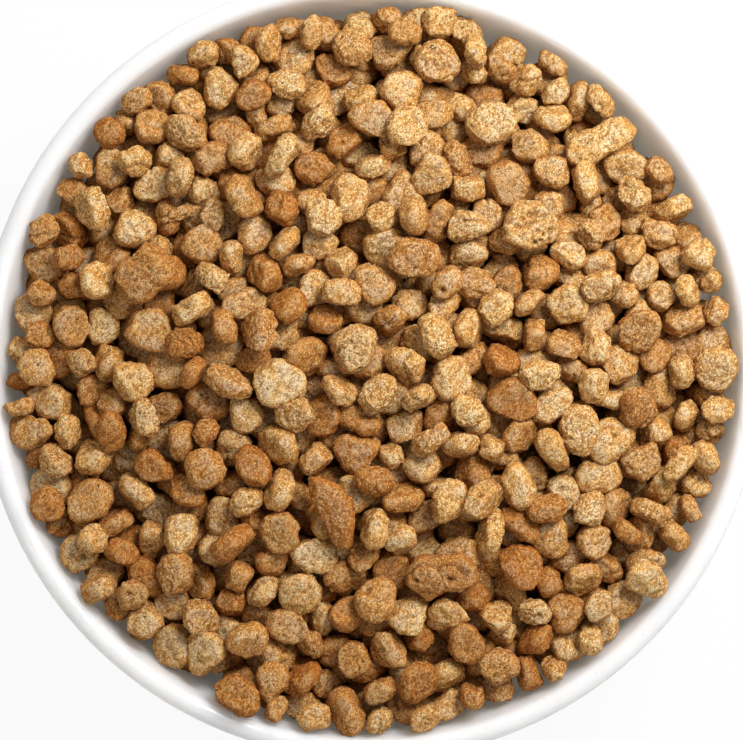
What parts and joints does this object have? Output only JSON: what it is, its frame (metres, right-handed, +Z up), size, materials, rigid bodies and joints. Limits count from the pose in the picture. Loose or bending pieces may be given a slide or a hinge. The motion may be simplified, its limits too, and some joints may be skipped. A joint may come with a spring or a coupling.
{
  "type": "bowl of dry pet food",
  "caption": "Round white ceramic bowl with a rounded lip and a foot ring, heaped past the lip with dry pet food nuggets.",
  "frame": {"origin": "centre of the foot ring, on the surface that the bowl stands on", "axes": "+Z up, along the bowl's axis; +X towards the nugget lodged at the lip; +Y towards the picture's top"},
  "size_m": [0.1798, 0.1798, 0.0735],
  "materials": {
    "white glaze": "smooth white glaze with a soft shine",
    "bed of kibble": "dry, crumbly and matte, brown in its own shade",
    "golden crust": "dry, crumbly and matte, with pale flecks",
    "brown crust": "dry, crumbly and matte, with pale flecks",
    "dark crust": "dry, crumbly and matte, with pale flecks",
    "pale crust": "dry, crumbly and matte, with pale flecks"
  },
  "bodies": {
    "root": {"bowl": "white glaze", "kibble_bed": "bed of kibble", "kibble_01": "golden crust", "kibble_02": "brown crust", "kibble_03": "dark crust", "kibble_04": "pale crust", "kibble_05": "golden crust", "kibble_06": "brown crust", "kibble_07": "dark crust", "kibble_08": "pale crust", "kibble_09": "golden crust", "kibble_10": "brown crust", "kibble_11": "dark crust", "kibble_12": "pale crust", "kibble_13": "golden crust", "kibble_14": "brown crust", "kibble_15": "dark crust", "kibble_16": "pale crust", "kibble_17": "golden crust", "kibble_18": "brown crust", "kibble_19": "dark crust", "kibble_20": "pale crust", "kibble_21": "golden crust", "kibble_22": "brown crust", "kibble_23": "dark crust", "kibble_24": "pale crust", "kibble_25": "golden crust", "kibble_26": "brown crust", "kibble_27": "dark crust", "kibble_28": "pale crust", "kibble_29": "golden crust", "kibble_30": "brown crust", "kibble_31": "dark crust", "kibble_32": "pale crust", "kibble_33": "golden crust", "kibble_34": "brown crust", "kibble_35": "dark crust", "kibble_36": "pale crust", "kibble_37": "golden crust", "kibble_38": "brown crust", "kibble_39": "dark crust", "kibble_40": "pale crust", "kibble_41": "golden crust", "kibble_42": "brown crust", "kibble_43": "dark crust", "kibble_44": "pale crust", "kibble_45": "golden crust", "kibble_46": "brown crust", "kibble_bent": "dark crust", "kibble_broken": "pale crust", "kibble_by_lip": "golden crust", "kibble_clump": "brown crust", "kibble_flat": "dark crust", "kibble_large": "pale crust", "kibble_on_lip": "golden crust", "kibble_pitted": "brown crust", "kibble_round": "dark crust", "kibble_sliver": "pale crust", "kibble_twin_1": "golden crust", "kibble_twin_2": "brown crust"}
  },
  "joints": []
}
